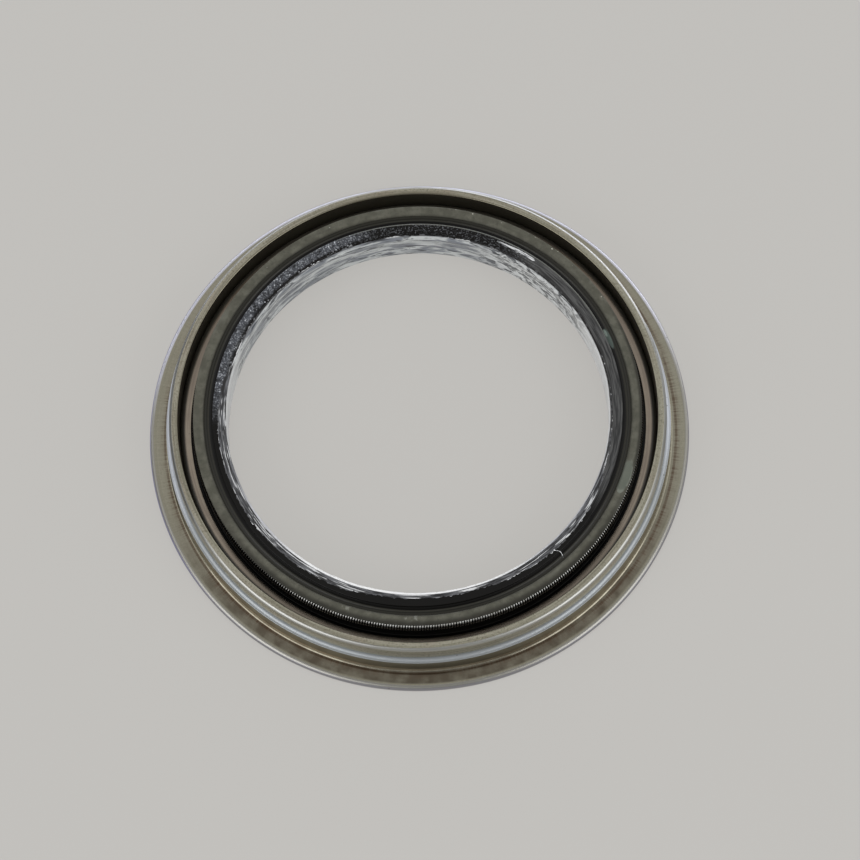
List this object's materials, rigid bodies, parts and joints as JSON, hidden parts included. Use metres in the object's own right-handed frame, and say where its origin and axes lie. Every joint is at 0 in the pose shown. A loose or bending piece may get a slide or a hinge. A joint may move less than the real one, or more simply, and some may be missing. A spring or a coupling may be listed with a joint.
{
  "type": "oil pump seal",
  "caption": "Flanged steel oil pump seal with a moulded rubber lip and a garter spring, to keep oil behind a turning shaft.",
  "frame": {"origin": "centre of the flange's back face, on the shaft's axis", "axes": "+Z along the shaft's axis, from the flange towards the spring side (the oil side)"},
  "size_m": [0.0712, 0.0712, 0.0084],
  "materials": {
    "case_steel": "bare turned steel with fine lathe lines, light brown oil stain",
    "insert_steel": "bare pressed sheet steel with a brownish tint",
    "lip_rubber": "matte olive-black moulded rubber, wet and greasy at the bore",
    "spring_steel": "bright drawn spring wire"
  },
  "bodies": {
    "root": {"outer_case": "case_steel", "inner_case": "insert_steel", "sealing_lip": "lip_rubber", "garter_spring": "spring_steel"}
  },
  "joints": []
}
